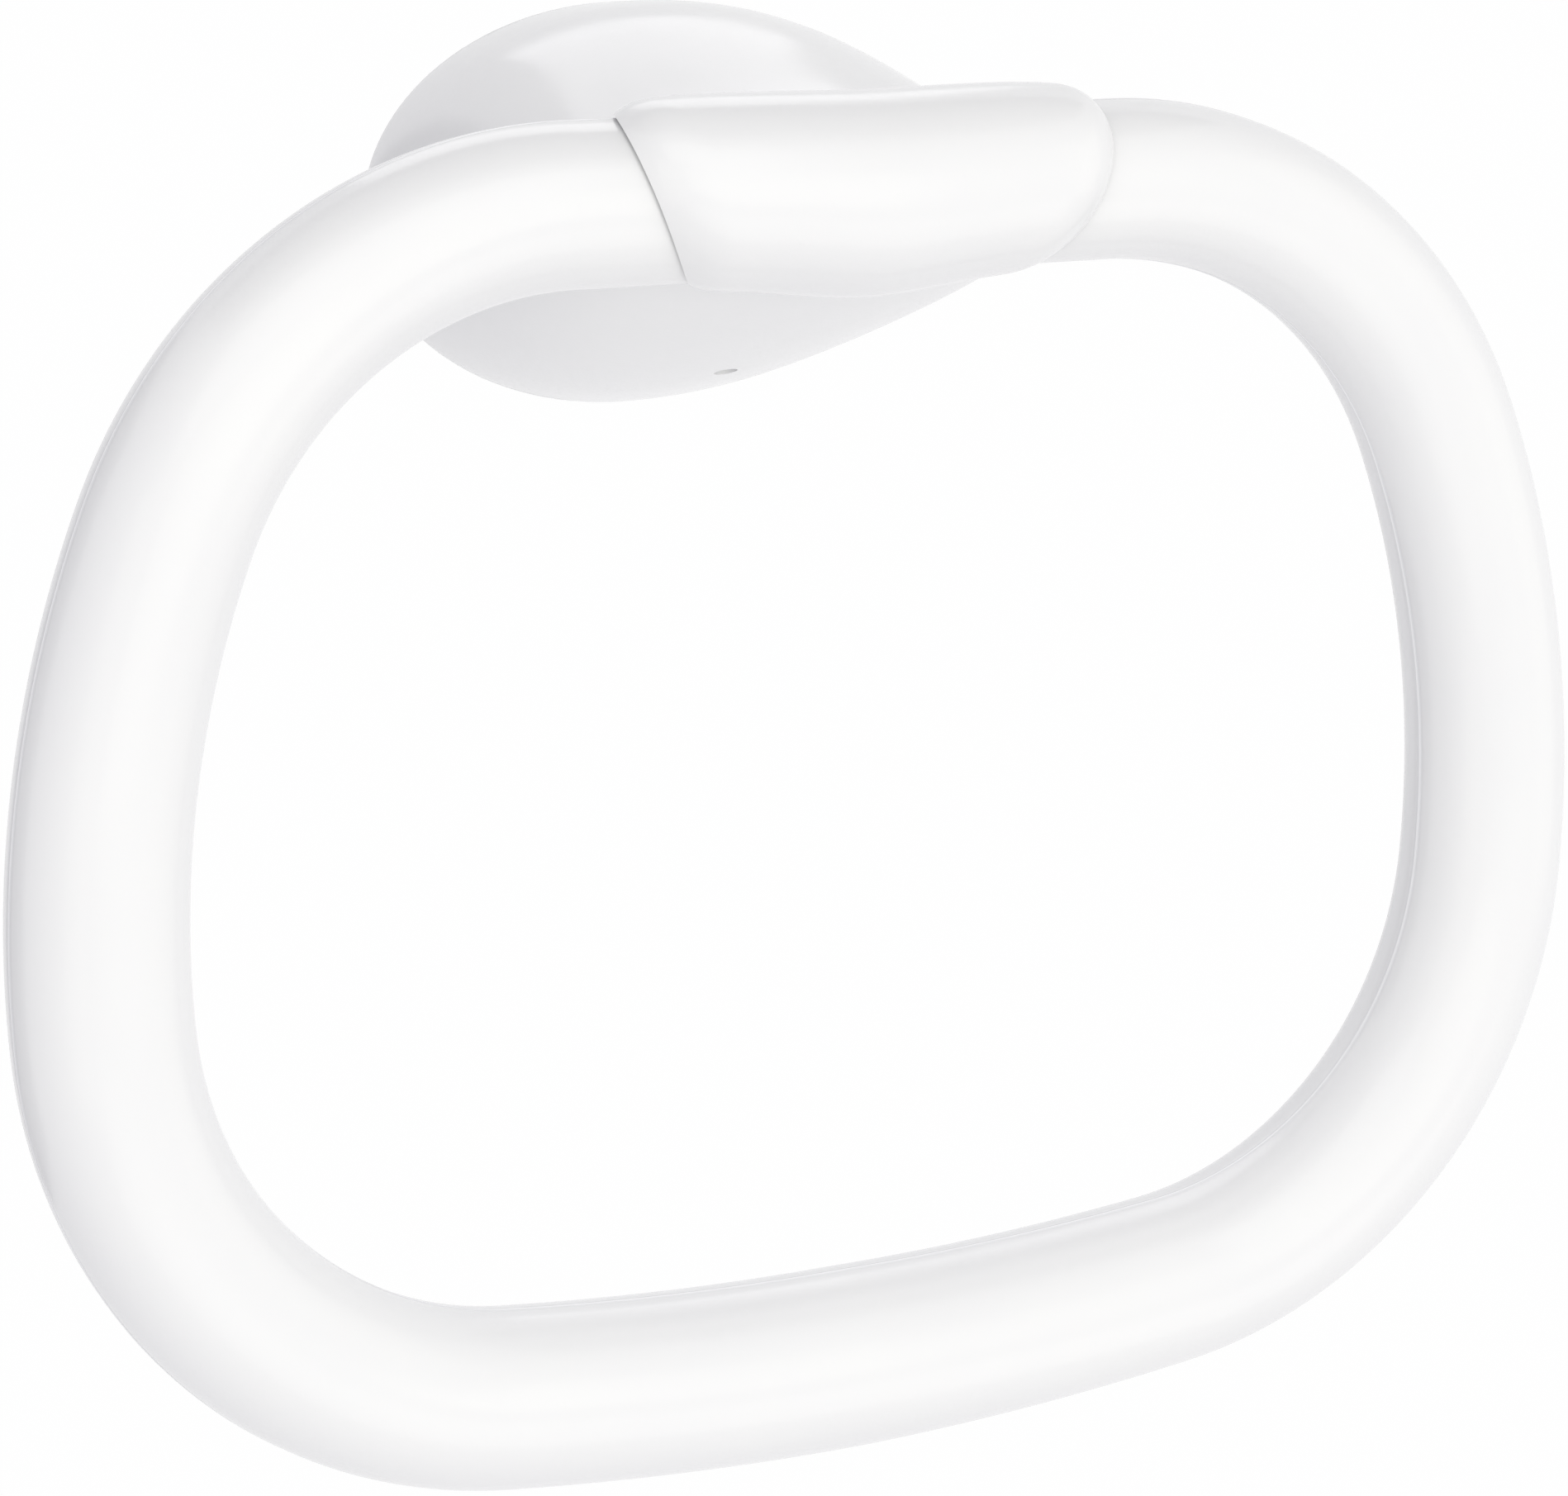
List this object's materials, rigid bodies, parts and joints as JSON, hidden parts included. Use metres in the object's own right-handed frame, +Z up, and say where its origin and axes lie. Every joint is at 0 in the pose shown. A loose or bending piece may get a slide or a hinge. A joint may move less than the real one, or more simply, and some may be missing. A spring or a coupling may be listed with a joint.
{
  "type": "towel ring",
  "caption": "Wall towel ring: a rounded-trapezium ring of round tube held by a horizontal sleeve on a smooth oval wall bracket, white plastic.",
  "frame": {"origin": "on the wall, at the middle of the bracket's oval base and of the two wall screws", "axes": "+Y into the wall, so the front looks along -Y; +X to the right seen from the room, along the sleeve; +Z up"},
  "size_m": [0.2242, 0.0786, 0.1848],
  "materials": {
    "white_plastic": "glossy white moulded plastic",
    "plate_plastic": "plain white moulded plastic",
    "screw_steel": "plain stainless steel"
  },
  "bodies": {
    "root": {"ring": "white_plastic", "bracket": "white_plastic", "wall_plate": "plate_plastic", "grub_screw": "screw_steel"}
  },
  "joints": []
}
